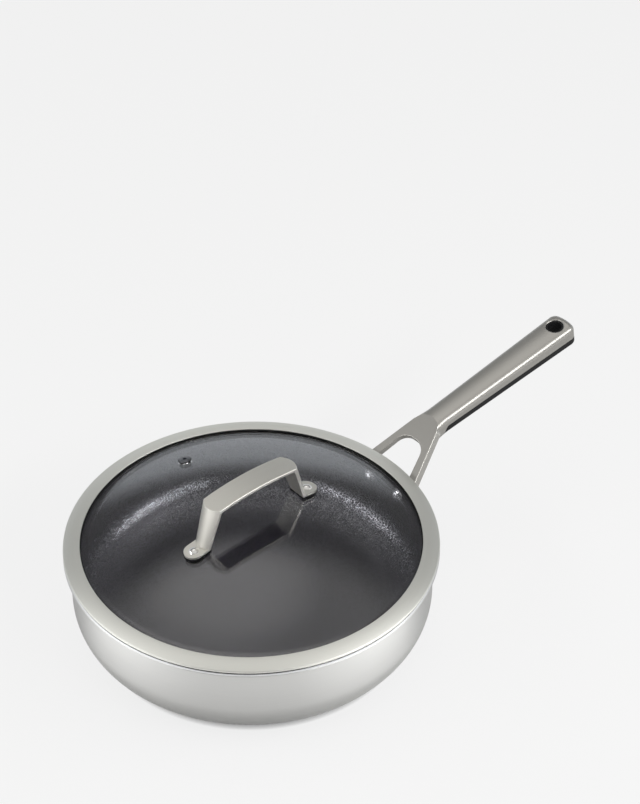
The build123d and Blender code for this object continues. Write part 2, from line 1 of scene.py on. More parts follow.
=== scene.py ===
"""Looks of a saute pan with a glass lid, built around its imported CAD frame.

Lengths are in metres. The origin is at the centre of the pan's base, +Z is up and the pan handle
points along +X."""

import json
import math

import bmesh
import bpy
from bpy.props import FloatProperty, FloatVectorProperty, IntProperty, PointerProperty
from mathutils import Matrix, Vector


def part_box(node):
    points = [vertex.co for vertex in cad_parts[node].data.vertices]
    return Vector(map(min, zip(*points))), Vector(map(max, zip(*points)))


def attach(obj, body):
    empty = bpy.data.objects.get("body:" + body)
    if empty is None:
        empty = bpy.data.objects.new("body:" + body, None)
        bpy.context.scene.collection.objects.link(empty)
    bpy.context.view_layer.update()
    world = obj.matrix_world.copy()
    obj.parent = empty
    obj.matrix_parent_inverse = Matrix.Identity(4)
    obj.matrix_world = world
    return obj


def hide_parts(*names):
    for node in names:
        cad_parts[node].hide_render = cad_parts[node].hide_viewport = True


bl_info = {
    "name": "Saute Pan with Lid",
    "version": (1, 0, 0),
    "blender": (4, 5, 0),
    "location": "View3D > Sidebar > Saute Pan",
    "description": "Turns, finishes and lights a saute pan and its glass lid",
    "category": "Object",
}

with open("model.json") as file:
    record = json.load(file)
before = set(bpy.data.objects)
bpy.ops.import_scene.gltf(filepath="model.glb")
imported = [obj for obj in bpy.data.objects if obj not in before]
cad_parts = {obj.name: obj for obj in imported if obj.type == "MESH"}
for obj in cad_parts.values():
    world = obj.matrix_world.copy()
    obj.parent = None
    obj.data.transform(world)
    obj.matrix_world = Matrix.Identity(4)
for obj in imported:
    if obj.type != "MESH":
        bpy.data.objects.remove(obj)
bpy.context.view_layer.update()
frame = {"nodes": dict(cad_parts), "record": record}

MM = 0.001
QUARTER = math.radians(90)

# Steps of the arcs in the turned outlines
CORNER_STEPS = 24
FLARE_STEPS = 10
HEAD_STEPS = 10
TAIL_STEPS = 8
CROWN_STEPS = 16
BEND_STEPS = 12
INNER_BEND_STEPS = 6

# Points of a turned piece that lie closer than this are one point
MERGE_DISTANCE = MM / 200

# Widths of the rounded edges on the turned pieces
SHEET_EDGE = 0.15 * MM
INNER_PLY_EDGE = 0.1 * MM
RIVET_EDGE = 0.2 * MM
BAND_EDGE = 0.2 * MM
SEAL_EDGE = 0.15 * MM
SHARP_ANGLE = math.radians(40)
SMOOTH_ANGLE = math.radians(50)

# Most values of a noise texture lie between these
NOISE_LOW, NOISE_HIGH = 0.3, 0.7

# Sockets of a colour mix, whose names aren't theirs alone
COLOUR_A, COLOUR_B, MIXED_COLOUR = 6, 7, 2

# Rises above the horizon between which the studio's paper ends, and its ceiling starts
PAPER_END = math.radians(14), math.radians(24)
CEILING_START = math.radians(44), math.radians(58)
GLOW_RADIUS = math.radians(20)

# Where the studio's walls turn dim, as shares of the way towards the camera, and where the gap in
# them turns pale, as shares of the way to either side
FAR_TO_NEAR = -0.3, 0.35
MIDDLE_TO_SIDE = 0.6, 0.85

# Where the floor's light in reflections changes, as shares of the way towards the camera
SIDE_TO_CORNER = -0.1, 0.4
CORNER_TO_FRONT = 0.5, 1.0

# Levels and radii that the frame gives
shell_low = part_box("outer_shell")[0]
rivets_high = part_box("handle_rivets")[1]
core_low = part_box("aluminium_core")[0]
liner_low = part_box("coated_liner")[0]
band_low, band_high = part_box("lid_rim_band")
seal_low, seal_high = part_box("rim_seal")
glass_low, glass_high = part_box("lid_glass")


class PanSizes(bpy.types.PropertyGroup):
    """Sizes of the pan that the frame's boxes don't give"""

    wall_radius: FloatProperty(
        name="Wall radius", description="Outside radius of the straight wall",
        default=0.133, unit="LENGTH")
    floor_thickness: FloatProperty(
        name="Floor thickness", description="All three bonded plies together",
        default=0.003, unit="LENGTH")
    base_corner_radius: FloatProperty(
        name="Base corner radius",
        description="Outside radius where the base turns up into the wall",
        default=0.036, unit="LENGTH")
    flare_start_height: FloatProperty(
        name="Flare start", description="Height where the wall starts to turn out into the lip",
        default=0.0671, unit="LENGTH")
    lip_flare_radius: FloatProperty(
        name="Lip flare radius", description="Outside radius of the turn under the lip",
        default=0.005, unit="LENGTH")
    lip_flare_angle: FloatProperty(
        name="Lip flare angle", description="How far the lip turns out from upright",
        default=math.radians(70), subtype="ANGLE")
    lip_land: FloatProperty(
        name="Lip land", description="Straight end of the lip past its turn",
        default=0.0014, unit="LENGTH")
    turning_steps: IntProperty(
        name="Turning steps", description="Faces around each turned piece",
        default=256, min=32, max=512)


class LidSizes(bpy.types.PropertyGroup):
    """Sizes of the lid that the frame's boxes don't give"""

    band_width: FloatProperty(
        name="Band width", description="Width of the steel band seen from above",
        default=0.0124, unit="LENGTH")
    band_crown_drop: FloatProperty(
        name="Crown drop",
        description="How far the band's top falls from its inner edge to its bend",
        default=0.00215, unit="LENGTH")
    band_bend_radius: FloatProperty(
        name="Bend radius", description="Outside radius of the band's rolled outer edge",
        default=0.0011, unit="LENGTH")
    band_thickness: FloatProperty(
        name="Sheet thickness", description="Thickness of the band's steel sheet",
        default=0.0008, unit="LENGTH")
    skirt_radius: FloatProperty(
        name="Skirt radius", description="Outside radius of the skirt in the pan's mouth",
        default=0.1293, unit="LENGTH")
    ledge_width: FloatProperty(
        name="Ledge width", description="Width of the ledge that carries the glass",
        default=0.0039, unit="LENGTH")
    band_bottom_height: FloatProperty(
        name="Band bottom", description="Height of the band's underside over the lip",
        default=0.0754, unit="LENGTH")
    seal_thickness: FloatProperty(
        name="Seal thickness", description="Thickness of the black seal over and under the glass",
        default=0.0005, unit="LENGTH")
    seal_inner_radius: FloatProperty(
        name="Seal inner radius", description="Radius of the seal's inner edge on the glass",
        default=0.1242, unit="LENGTH")


class RivetSizes(bpy.types.PropertyGroup):
    """Sizes of the two rivets that hold the pan handle"""

    spacing: FloatProperty(
        name="Spacing", description="Distance between the rivets", default=0.031, unit="LENGTH")
    height: FloatProperty(
        name="Height", description="Height of the rivets above the table", default=0.0545,
        unit="LENGTH")
    head_radius: FloatProperty(
        name="Head radius", description="Radius of the head inside the pan", default=0.0056,
        unit="LENGTH")
    head_dome: FloatProperty(
        name="Head dome", description="Height of the head inside the pan", default=0.0028,
        unit="LENGTH")
    shank_radius: FloatProperty(
        name="Shank radius", description="Radius of the shank through the wall", default=0.0029,
        unit="LENGTH")
    tail_radius: FloatProperty(
        name="Tail radius", description="Radius of the upset tail", default=0.0048, unit="LENGTH")
    tail_dome: FloatProperty(
        name="Tail dome", description="Height of the upset tail", default=0.0018, unit="LENGTH")


class StudioSettings(bpy.types.PropertyGroup):
    """Light and view of the studio"""

    right_power: FloatProperty(
        name="Right softbox", description="Power of the softbox to the right of the pan",
        default=9.0, unit="POWER")
    right_turn: FloatProperty(
        name="Right turn", description="Bearing of the right softbox from the line of sight",
        default=math.radians(114), subtype="ANGLE")
    right_rise: FloatProperty(
        name="Right rise", description="Height of the right softbox above the horizon",
        default=math.radians(38), subtype="ANGLE")
    left_power: FloatProperty(
        name="Left softbox", description="Power of the softbox to the left of the pan",
        default=5.0, unit="POWER")
    left_turn: FloatProperty(
        name="Left turn", description="Bearing of the left softbox from the line of sight",
        default=math.radians(-108), subtype="ANGLE")
    left_rise: FloatProperty(
        name="Left rise", description="Height of the left softbox above the horizon",
        default=math.radians(38), subtype="ANGLE")
    softbox_width: FloatProperty(
        name="Softbox width", description="Level side of each softbox", default=1.3, unit="LENGTH")
    softbox_depth: FloatProperty(
        name="Softbox depth", description="Upright side of each softbox", default=0.2,
        unit="LENGTH")
    softbox_distance: FloatProperty(
        name="Softbox distance", description="Distance of each softbox from the pan", default=1.3,
        unit="LENGTH")
    glow_turn: FloatProperty(
        name="Glow turn", description="Bearing of the ceiling's glow from the line of sight",
        default=math.radians(-12), subtype="ANGLE")
    glow_rise: FloatProperty(
        name="Glow rise", description="Height of the ceiling's glow above the horizon",
        default=math.radians(62), subtype="ANGLE")
    glow_strength: FloatProperty(
        name="Glow strength", description="Brightness of the glow's middle against the ceiling",
        default=1.8)
    floor_lift: FloatProperty(
        name="Floor lift", description="Light that the floor adds where it is seen straight",
        default=0.8)
    side_lift: FloatProperty(
        name="Side lift", description="Light that the floor adds in reflections, beside the pan",
        default=0.2)
    corner_lift: FloatProperty(
        name="Corner lift",
        description="Light that the floor adds in reflections, before the pan to either side",
        default=1.25)
    front_lift: FloatProperty(
        name="Front lift",
        description="Light that the floor adds in reflections, right before the pan",
        default=0.6)
    lift_start: FloatProperty(
        name="Lift start",
        description="Distance from the pan's middle where the floor's light in reflections starts",
        default=0.15, unit="LENGTH")
    lift_end: FloatProperty(
        name="Lift end",
        description="Distance from the pan's middle where the floor's light in reflections is full",
        default=0.21, unit="LENGTH")
    shadow_reach: FloatProperty(
        name="Shadow reach", description="How near the pan takes the floor's own light away",
        default=0.0055, unit="LENGTH")
    floor_width: FloatProperty(
        name="Floor width", description="Side of the square floor", default=24.0, unit="LENGTH")
    camera_bearing: FloatProperty(
        name="Camera bearing", description="Turn of the view from +Y towards +X",
        default=math.radians(41.2), subtype="ANGLE")
    camera_pitch: FloatProperty(
        name="Camera pitch", description="How far the view looks down",
        default=math.radians(38.33), subtype="ANGLE")
    camera_distance: FloatProperty(
        name="Camera distance", description="Distance from the camera to the middle of the view",
        default=1.8, unit="LENGTH")
    view_centre: FloatVectorProperty(
        name="Middle of the view", description="Point that the camera looks at",
        default=(0.0797, 0.0153, 0.1544), subtype="XYZ", unit="LENGTH")
    camera_lens: FloatProperty(
        name="Lens", description="Focal length in millimetres on a 36 mm sensor",
        default=110.3)
    camera_near: FloatProperty(
        name="Near end", description="Nearest distance that the camera shows",
        default=0.05, unit="LENGTH")


def linear(hex_colour):
    """Linear RGBA of an sRGB colour written as a hex number."""
    channels = [((hex_colour >> shift) & 0xFF) / 255 for shift in (16, 8, 0)]
    return [c / 12.92 if c <= 0.04045 else ((c + 0.055) / 1.055) ** 2.4 for c in channels] + [1.0]


def dulled(colour, share):
    """A darker share of a linear colour."""
    return [channel * share for channel in colour[:3]] + [1.0]


def add_node(owner, kind, inputs=None, **settings):
    """Adds a node with its settings, and sets or links its inputs."""
    tree = owner.node_tree
    node = tree.nodes.new(kind)
    for name, value in settings.items():
        setattr(node, name, value)
    for name, value in (inputs or {}).items():
        if isinstance(value, bpy.types.NodeSocket):
            tree.links.new(value, node.inputs[name])
        else:
            node.inputs[name].default_value = value
    return node


def object_place(material):
    """Place on the piece, in its own coordinates."""
    return add_node(material, "ShaderNodeTexCoord").outputs["Object"]


def noise(owner, place, size, detail=2.0, roughness=0.5):
    """Cloudy noise with spots of about the given size."""
    cloud = add_node(owner, "ShaderNodeTexNoise", {
        "Vector": place, "Scale": 1 / size, "Detail": detail, "Roughness": roughness})
    return cloud.outputs["Fac"]


def relief(material, height, strength, depth):
    """Normal of a shallow relief with the given depth."""
    bump = add_node(material, "ShaderNodeBump", {
        "Height": height, "Strength": strength, "Distance": depth})
    return bump.outputs["Normal"]


def ramp(owner, value, start, end, low=0.0, high=1.0, kind="LINEAR"):
    """Runs from low to high while the value goes from start to end."""
    node = add_node(owner, "ShaderNodeMapRange", {
        "Value": value, "From Min": start, "From Max": end, "To Min": low, "To Max": high},
        interpolation_type=kind)
    return node.outputs["Result"]


def soft_ramp(owner, value, start, end, low=0.0, high=1.0):
    """A ramp that leaves low and reaches high without a bend."""
    return ramp(owner, value, start, end, low, high, "SMOOTHSTEP")


def mix_colours(owner, factor, first, second):
    """Mixes two colours by a factor from 0 to 1."""
    mix = add_node(owner, "ShaderNodeMix", {
        "Factor": factor, COLOUR_A: first, COLOUR_B: second}, data_type="RGBA")
    return mix.outputs[MIXED_COLOUR]


def scalar_math(owner, operation, *values, clamp=False):
    """Result of an operation on one or two numbers."""
    node = add_node(owner, "ShaderNodeMath", dict(enumerate(values)),
                    operation=operation, use_clamp=clamp)
    return node.outputs["Value"]


def vector_math(owner, operation, *vectors):
    """Result of an operation on one or two vectors: a number for a length or a dot product."""
    node = add_node(owner, "ShaderNodeVectorMath", dict(enumerate(vectors)), operation=operation)
    return node.outputs["Value" if operation in ("LENGTH", "DOT_PRODUCT") else "Vector"]


def sight_line(bearing, rise):
    """Direction with a bearing, from +Y towards +X, and a rise above the horizon."""
    return Vector((math.sin(bearing) * math.cos(rise), math.cos(bearing) * math.cos(rise),
                   math.sin(rise)))


def new_material(name):
    """Starts an empty material."""
    material = bpy.data.materials.new(name)
    material.use_nodes = True
    material.node_tree.nodes.clear()
    return material


def show(material, shader):
    """Sends a shader to the material's output."""
    add_node(material, "ShaderNodeOutputMaterial", {"Surface": shader})
    return material


def start_outline(radius, height):
    """Starts a turned piece as a single point of its outline, in edit mode."""
    bpy.ops.object.select_all(action="DESELECT")
    bpy.ops.mesh.primitive_plane_add(size=MM, location=(radius, 0, height))
    bpy.ops.object.transform_apply(location=True)
    bpy.ops.object.mode_set(mode="EDIT")
    bpy.ops.mesh.select_mode(type="VERT")
    bpy.ops.mesh.select_all(action="SELECT")
    bpy.ops.mesh.merge(type="CENTER")


def outline_end():
    """Radius and height of the outline's last point."""
    edit_mesh = bmesh.from_edit_mesh(bpy.context.object.data)
    end = next(v for v in edit_mesh.verts if v.select)
    return end.co.x, end.co.z


def line_to(radius, height):
    """Draws the outline on in a straight line."""
    old_radius, old_height = outline_end()
    move = (radius - old_radius, 0, height - old_height)
    bpy.ops.mesh.extrude_vertices_move(TRANSFORM_OT_translate={"value": move})


def line_on(angle, length):
    """Draws the outline on by a length, at an angle above level."""
    radius, height = outline_end()
    line_to(radius + length * math.cos(angle), height + length * math.sin(angle))


def arc_about(radius, height, angle, steps):
    """Draws the outline on in an arc. A positive angle turns from outwards to upwards."""
    bpy.ops.mesh.spin(steps=steps, angle=angle, center=(radius, 0, height), axis=(0, 1, 0))


def dome_radius(rim_radius, height):
    """Radius of the sphere that a dome is cut from."""
    return (rim_radius ** 2 + height ** 2) / (2 * height)


def turn_outline():
    """Turns the whole outline once around the upright axis."""
    steps = bpy.context.scene.saute_pan.turning_steps
    bpy.ops.mesh.select_all(action="SELECT")
    bpy.ops.mesh.spin(steps=steps, angle=math.tau, center=(0, 0, 0), axis=(0, 0, 1))
    bpy.ops.mesh.select_all(action="SELECT")
    bpy.ops.mesh.remove_doubles(threshold=MERGE_DISTANCE)
    bpy.ops.mesh.normals_make_consistent(inside=False)
    bpy.ops.object.mode_set(mode="OBJECT")


def soften_edges(width, segments=2):
    """Rounds the active piece's sharp edges and shades its faces smooth."""
    bpy.ops.object.modifier_add(type="BEVEL")
    bevel = bpy.context.object.modifiers[-1]
    bevel.width = width
    bevel.segments = segments
    bevel.limit_method = "ANGLE"
    bevel.angle_limit = SHARP_ANGLE
    bpy.ops.object.modifier_apply(modifier=bevel.name)
    bpy.ops.object.shade_smooth_by_angle(angle=SMOOTH_ANGLE)


def hand_over(name, node, material):
    """Names the active piece, gives it a material and lets it stand for its CAD node."""
    piece = bpy.context.object
    piece.name = name
    piece.data.name = name
    piece.data.materials.append(material)
    bodies = frame["record"]["behaviour"]["bodies"].items()
    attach(piece, next(body for body, nodes in bodies if node in nodes))
    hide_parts(node)


def refinish(material, *nodes):
    """Gives CAD nodes a better material."""
    for node in nodes:
        frame["nodes"][node].data.materials.clear()
        frame["nodes"][node].data.materials.append(material)


def draw_ply(outer_depth, inner_depth):
    """Outline of one ply of the pan, between two depths below the outer surface."""
    sizes = bpy.context.scene.saute_pan
    flat_radius = sizes.wall_radius - sizes.base_corner_radius
    flare_centre = sizes.wall_radius + sizes.lip_flare_radius
    land_angle = QUARTER - sizes.lip_flare_angle
    start_outline(0, outer_depth)
    line_to(flat_radius, outer_depth)
    arc_about(flat_radius, sizes.base_corner_radius, QUARTER, CORNER_STEPS)
    line_to(sizes.wall_radius - outer_depth, sizes.flare_start_height)
    arc_about(flare_centre, sizes.flare_start_height, -sizes.lip_flare_angle, FLARE_STEPS)
    line_on(land_angle, sizes.lip_land)
    line_on(land_angle + QUARTER, inner_depth - outer_depth)
    line_on(land_angle, -sizes.lip_land)
    arc_about(flare_centre, sizes.flare_start_height, sizes.lip_flare_angle, FLARE_STEPS)
    line_to(sizes.wall_radius - inner_depth, sizes.base_corner_radius)
    arc_about(flat_radius, sizes.base_corner_radius, -QUARTER, CORNER_STEPS)
    line_to(0, inner_depth)
    turn_outline()


def satin_turned_steel(name, base_colour, roughness, anisotropy):
    """Stainless steel, satin turned. Fine rings around the axis, each a little brighter or duller
    than the next, spread the highlights across the turning direction."""
    material = new_material(name)
    parts = add_node(material, "ShaderNodeSeparateXYZ", {"Vector": object_place(material)}).outputs
    across = add_node(material, "ShaderNodeCombineXYZ", {"X": parts["X"], "Y": parts["Y"]})
    radius = vector_math(material, "LENGTH", across.outputs["Vector"])
    bearing = scalar_math(material, "ARCTAN2", parts["Y"], parts["X"])
    drift = scalar_math(material, "MULTIPLY", bearing, MM)
    ring_place = add_node(material, "ShaderNodeCombineXYZ", {
        "X": radius, "Y": parts["Z"], "Z": drift})
    # Rings 0.6 mm apart: the real lines are finer, but would not show
    rings = noise(material, ring_place.outputs["Vector"], 0.6 * MM, detail=4.0, roughness=0.6)
    shader = add_node(material, "ShaderNodeBsdfPrincipled", {
        "Base Color": mix_colours(material, rings, dulled(base_colour, 0.93), base_colour),
        "Metallic": 1.0,
        "Roughness": ramp(material, rings, NOISE_LOW, NOISE_HIGH,
                          roughness - 0.03, roughness + 0.04),
        "Anisotropic": anisotropy, "Anisotropic Rotation": 0.25,
        "Normal": relief(material, rings, 0.06, 0.02 * MM)})
    return show(material, shader.outputs["BSDF"])


def brushed_cast_steel(name, base_colour, roughness):
    """Stainless steel, cast and brushed along its length. Long fine scratches run along X."""
    material = new_material(name)
    scratch_length, scratch_spacing = 12 * MM, 0.4 * MM
    stretch = add_node(material, "ShaderNodeMapping", {
        "Vector": object_place(material),
        "Scale": (1 / scratch_length, 1 / scratch_spacing, 1 / scratch_spacing)})
    # The stretched place has the scratches' size in it already
    scratches = noise(material, stretch.outputs["Vector"], 1.0, detail=4.0, roughness=0.6)
    shader = add_node(material, "ShaderNodeBsdfPrincipled", {
        "Base Color": mix_colours(material, scratches, dulled(base_colour, 0.9), base_colour),
        "Metallic": 1.0,
        "Roughness": ramp(material, scratches, NOISE_LOW, NOISE_HIGH,
                          roughness - 0.03, roughness + 0.05),
        "Normal": relief(material, scratches, 0.08, 0.02 * MM)})
    return show(material, shader.outputs["BSDF"])


def polished_stainless():
    """Stainless steel, polished. Small pressed pieces with a soft mirror and faint orange peel."""
    material = new_material("Polished stainless steel")
    peel = noise(material, object_place(material), 0.8 * MM)
    shader = add_node(material, "ShaderNodeBsdfPrincipled", {
        "Base Color": linear(0xDEDDDA), "Metallic": 1.0,
        "Roughness": ramp(material, peel, 0.0, 1.0, 0.1, 0.2),
        "Normal": relief(material, peel, 0.1, 0.01 * MM)})
    return show(material, shader.outputs["BSDF"])


def oxidised_steel():
    """Steel, pressed and black oxidised. A thin dark skin that still has a metal's soft sheen."""
    material = new_material("Black oxidised steel")
    skin = noise(material, object_place(material), 0.6 * MM)
    shader = add_node(material, "ShaderNodeBsdfPrincipled", {
        "Base Color": linear(0x66676B), "Metallic": 1.0,
        "Roughness": ramp(material, skin, 0.0, 1.0, 0.22, 0.34)})
    return show(material, shader.outputs["BSDF"])


def rolled_aluminium():
    """Aluminium sheet, rolled. It shows only as a thin pale line in the cut edge of the lip."""
    material = new_material("Rolled aluminium")
    grain = noise(material, object_place(material), 0.5 * MM, detail=3.0)
    shader = add_node(material, "ShaderNodeBsdfPrincipled", {
        "Base Color": linear(0xE3E4E5), "Metallic": 1.0,
        "Roughness": ramp(material, grain, 0.0, 1.0, 0.3, 0.45)})
    return show(material, shader.outputs["BSDF"])


def speckled_coating(name, roughness, specular, flake_share, flake_colour):
    """Reinforced non-stick coating, sprayed and cured. Charcoal with fine mineral flakes that
    settle flatter than the surface, so that they glitter in a band where a lamp is mirrored."""
    material = new_material(name)
    place = object_place(material)
    # Flakes of 0.65 mm: the real ones are about 0.2 mm, too small to show
    flakes = add_node(material, "ShaderNodeTexVoronoi", {
        "Vector": place, "Scale": 1 / (0.65 * MM)}).outputs["Color"]
    lot = add_node(material, "ShaderNodeSeparateXYZ", {"Vector": flakes}).outputs["Z"]
    # The spray lies thicker in the corner and on the wall than on the level floor
    facing = add_node(material, "ShaderNodeNewGeometry").outputs["Normal"]
    level = add_node(material, "ShaderNodeSeparateXYZ", {"Vector": facing}).outputs["Z"]
    corner_level, floor_level = 0.6, 1.0
    most = ramp(material, level, corner_level, floor_level, flake_share, flake_share / 3)
    bare_cells = 0.2
    share = ramp(material, lot, bare_cells, 1.0, 0.0, most)
    # Soft grain of the charcoal between the flakes
    grain_low, grain_high = 0.35, 0.65
    grain = ramp(material, noise(material, place, 1.2 * MM, detail=1.0), grain_low, grain_high)
    binder = add_node(material, "ShaderNodeBsdfPrincipled", {
        "Base Color": mix_colours(material, grain, linear(0x0A090D), linear(0x29272E)),
        "Roughness": roughness, "Specular IOR Level": specular})
    # Each flake leans its own way by up to 0.04, and all have settled upwards by about 0.4
    lean = vector_math(material, "SUBTRACT", flakes, (0.5, 0.5, -4.5))
    lean = vector_math(material, "MULTIPLY", lean, (0.08, 0.08, 0.08))
    settled = vector_math(material, "ADD", facing, lean)
    flake = add_node(material, "ShaderNodeBsdfPrincipled", {
        "Base Color": flake_colour, "Metallic": 1.0, "Roughness": 0.22,
        "Normal": vector_math(material, "NORMALIZE", settled)})
    shader = add_node(material, "ShaderNodeMixShader", {
        0: share, 1: binder.outputs["BSDF"], 2: flake.outputs["BSDF"]})
    return show(material, shader.outputs["Shader"])


def moulded_nylon():
    """Glass-filled nylon, moulded with a fine spark-eroded texture. Nearly black and dull."""
    material = new_material("Black moulded nylon")
    grit = noise(material, object_place(material), 0.35 * MM)
    shader = add_node(material, "ShaderNodeBsdfPrincipled", {
        "Base Color": mix_colours(material, grit, linear(0x131314), linear(0x1F1F20)),
        "Roughness": 0.6, "Specular IOR Level": 0.25,
        "Normal": relief(material, grit, 0.3, 0.05 * MM)})
    return show(material, shader.outputs["BSDF"])


def black_silicone():
    """Silicone rubber, moulded. Black and smooth, with a faint bloom. All the seals share it."""
    name = "Black silicone rubber"
    if name in bpy.data.materials:
        return bpy.data.materials[name]
    material = new_material(name)
    bloom = noise(material, object_place(material), 4 * MM)
    shader = add_node(material, "ShaderNodeBsdfPrincipled", {
        "Base Color": mix_colours(material, bloom, linear(0x0A0A0B), linear(0x121213)),
        "Roughness": 0.5, "Specular IOR Level": 0.2})
    return show(material, shader.outputs["BSDF"])


def tempered_glass():
    """Soda-lime glass, bent and tempered. Clear, and it lets lamps through."""
    material = new_material("Tempered soda-lime glass")
    # Tempering leaves a very slow ripple
    ripple = noise(material, object_place(material), 60 * MM)
    glass = add_node(material, "ShaderNodeBsdfPrincipled", {
        "Base Color": linear(0xF9F9FC), "Roughness": 0.0, "IOR": 1.5, "Transmission Weight": 1.0,
        "Normal": relief(material, ripple, 0.05, 0.2 * MM)})
    clear = add_node(material, "ShaderNodeBsdfTransparent", {"Color": linear(0xF1F1F4)})
    shadow = add_node(material, "ShaderNodeLightPath").outputs["Is Shadow Ray"]
    shader = add_node(material, "ShaderNodeMixShader", {
        0: shadow, 1: glass.outputs["BSDF"], 2: clear.outputs["BSDF"]})
    return show(material, shader.outputs["Shader"])


class SAUTE_OT_outer_shell(bpy.types.Operator):
    """Turn the pan's outer steel ply"""

    bl_idname = "saute.outer_shell"
    bl_label = "Outer shell"

    def execute(self, context):
        draw_ply(shell_low.z, core_low.z)
        soften_edges(SHEET_EDGE)
        hand_over("pan_outer_shell", "outer_shell",
                  satin_turned_steel("Satin stainless steel, pan", linear(0xDADAD8), 0.36, 0.85))
        return {"FINISHED"}


class SAUTE_OT_aluminium_core(bpy.types.Operator):
    """Turn the aluminium ply between the two steel plies"""

    bl_idname = "saute.aluminium_core"
    bl_label = "Aluminium core"

    def execute(self, context):
        draw_ply(core_low.z, liner_low.z)
        soften_edges(INNER_PLY_EDGE)
        hand_over("pan_aluminium_core", "aluminium_core", rolled_aluminium())
        return {"FINISHED"}


class SAUTE_OT_coated_liner(bpy.types.Operator):
    """Turn the coated inner ply"""

    bl_idname = "saute.coated_liner"
    bl_label = "Coated liner"

    def execute(self, context):
        draw_ply(liner_low.z, context.scene.saute_pan.floor_thickness)
        soften_edges(INNER_PLY_EDGE)
        hand_over("pan_coated_liner", "coated_liner", speckled_coating(
            "Speckled non-stick coating", 0.35, 0.2, 0.33, linear(0xBABBBD)))
        return {"FINISHED"}


class SAUTE_OT_rivets(bpy.types.Operator):
    """Form the two coated rivets that hold the pan handle"""

    bl_idname = "saute.rivets"
    bl_label = "Rivets"

    def execute(self, context):
        sizes = context.scene.saute_rivets
        pan = context.scene.saute_pan
        inside_radius = pan.wall_radius - pan.floor_thickness
        seat = math.sqrt(inside_radius ** 2 - sizes.head_radius ** 2)
        head_sphere = dome_radius(sizes.head_radius, sizes.head_dome)
        tail_sphere = dome_radius(sizes.tail_radius, sizes.tail_dome)
        bearing = math.asin(sizes.spacing / 2 / inside_radius)
        tail_end = rivets_high.x / math.cos(bearing)
        foot = tail_end - sizes.tail_dome
        head_top = seat - sizes.head_dome
        start_outline(0, head_top)
        arc_about(0, head_top + head_sphere, math.asin(sizes.head_radius / head_sphere), HEAD_STEPS)
        line_to(sizes.shank_radius, seat)
        line_to(sizes.shank_radius, foot)
        line_to(sizes.tail_radius, foot)
        arc_about(0, tail_end - tail_sphere, math.asin(sizes.tail_radius / tail_sphere), TAIL_STEPS)
        turn_outline()
        soften_edges(RIVET_EDGE)
        first = context.object
        first.location.z = sizes.height
        bpy.ops.object.duplicate()
        second = context.object
        first.rotation_euler = (0, QUARTER, bearing)
        second.rotation_euler = (0, QUARTER, -bearing)
        first.select_set(True)
        bpy.ops.object.transform_apply(location=True, rotation=True)
        bpy.ops.object.join()
        hand_over("pan_handle_rivets", "handle_rivets", speckled_coating(
            "Speckled non-stick coating, rivets", 0.15, 1.0, 1.0, linear(0xF0F0F0)))
        return {"FINISHED"}


class SAUTE_OT_pan_handle(bpy.types.Operator):
    """Finish the handle casting and its black insert"""

    bl_idname = "saute.pan_handle"
    bl_label = "Pan handle"

    def execute(self, context):
        refinish(brushed_cast_steel("Brushed cast stainless steel", linear(0xB2B0AB), 0.38),
                 "handle_casting")
        refinish(moulded_nylon(), "handle_grip_insert")
        return {"FINISHED"}


class SAUTE_OT_lid_band(bpy.types.Operator):
    """Turn the rolled steel band of the lid"""

    bl_idname = "saute.lid_band"
    bl_label = "Lid band"

    def execute(self, context):
        sizes = context.scene.saute_lid
        band_inner_radius = band_high.x - sizes.band_width
        bend_radius = band_high.x - sizes.band_bend_radius
        bend_height = sizes.band_bottom_height + sizes.band_bend_radius
        run = bend_radius - band_inner_radius
        crown_radius = ((run ** 2 + sizes.band_crown_drop ** 2) / (2 * sizes.band_crown_drop)
                        + sizes.band_bend_radius)
        crown_height = bend_height + sizes.band_crown_drop - crown_radius + sizes.band_bend_radius
        crown_turn = math.atan2(run, bend_height - crown_height)
        sheet = sizes.band_thickness
        skirt_inner = sizes.skirt_radius - sheet
        ledge_top = seal_low.z
        start_outline(band_inner_radius, crown_height + crown_radius)
        arc_about(band_inner_radius, crown_height, -crown_turn, CROWN_STEPS)
        arc_about(bend_radius, bend_height, crown_turn - 2 * QUARTER, BEND_STEPS)
        line_to(sizes.skirt_radius, sizes.band_bottom_height)
        line_to(sizes.skirt_radius, band_low.z)
        line_to(skirt_inner, band_low.z)
        line_to(skirt_inner, ledge_top - sheet)
        line_to(skirt_inner - sizes.ledge_width, ledge_top - sheet)
        line_to(skirt_inner - sizes.ledge_width, ledge_top)
        line_to(skirt_inner, ledge_top)
        line_to(skirt_inner, sizes.band_bottom_height + sheet)
        line_to(bend_radius, sizes.band_bottom_height + sheet)
        arc_about(bend_radius, bend_height, 2 * QUARTER - crown_turn, INNER_BEND_STEPS)
        arc_about(band_inner_radius, crown_height, crown_turn, CROWN_STEPS)
        line_to(band_inner_radius, crown_height + crown_radius)
        turn_outline()
        soften_edges(BAND_EDGE, 3)
        hand_over("lid_steel_band", "lid_rim_band",
                  satin_turned_steel("Satin stainless steel, lid", linear(0xE3E3DD), 0.48, 0.6))
        return {"FINISHED"}


